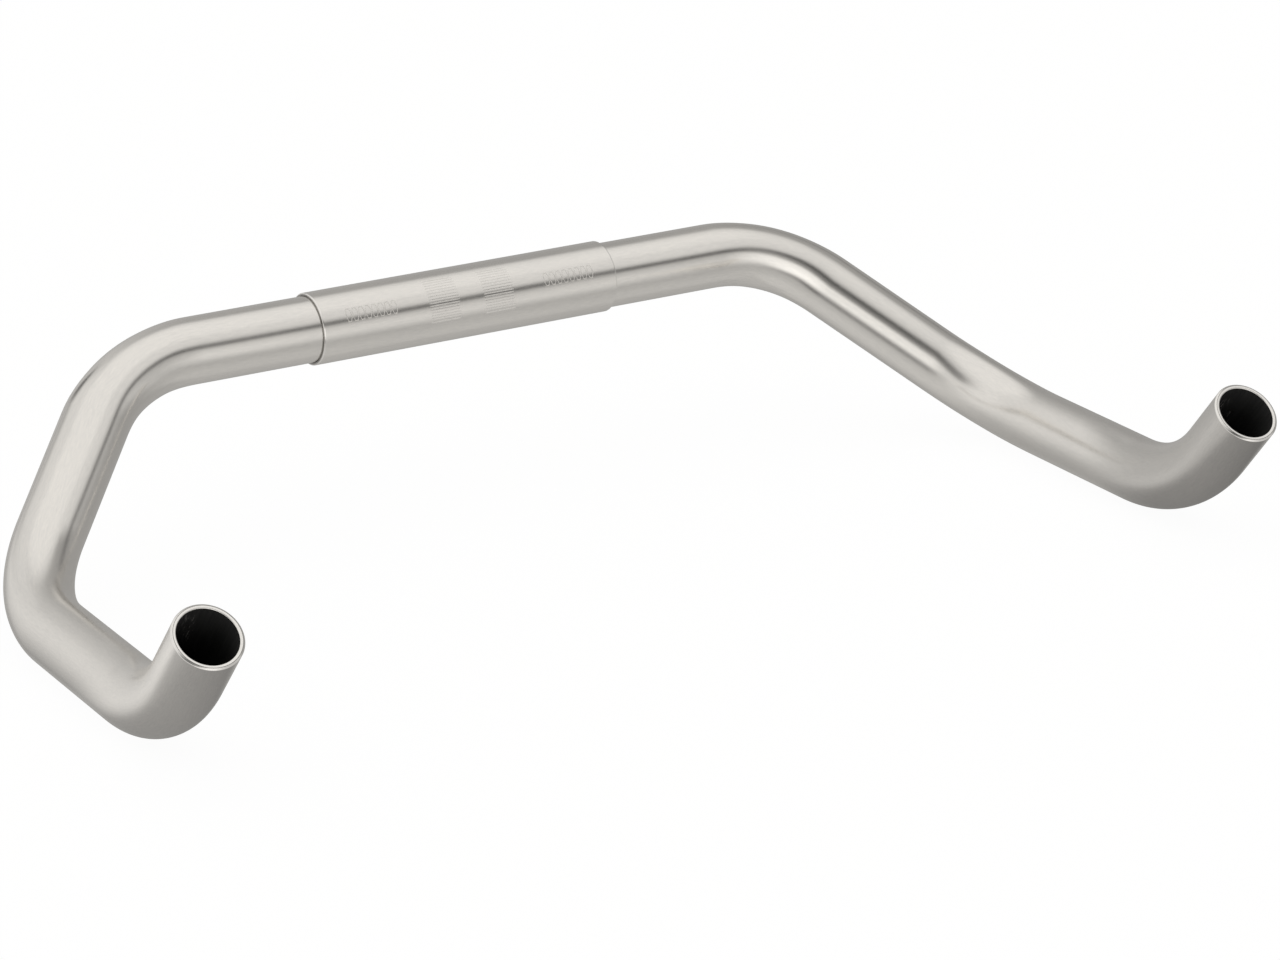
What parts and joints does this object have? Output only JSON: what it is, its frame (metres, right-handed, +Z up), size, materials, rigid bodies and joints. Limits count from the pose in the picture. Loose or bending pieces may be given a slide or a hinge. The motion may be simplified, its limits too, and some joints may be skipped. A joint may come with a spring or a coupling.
{
  "type": "bullhorn handlebar",
  "caption": "Bullhorn bicycle handlebar bent from one aluminium tube, with tops that drop to forward grips, upturned open ends and a pressed-on sleeve for the stem.",
  "frame": {"origin": "middle of the clamping sleeve, on its axis", "axes": "+X along the tops to the bar's right end, +Y back towards the rider, +Z up with the grips level"},
  "size_m": [0.4258, 0.2236, 0.0809],
  "materials": {
    "tube_alloy": "satin anodised silver, fine grain along the tube",
    "sleeve_alloy": "satin anodised silver, engraved position lines"
  },
  "bodies": {
    "root": {"handlebar_tube": "tube_alloy", "centre_sleeve": "sleeve_alloy"}
  },
  "joints": []
}
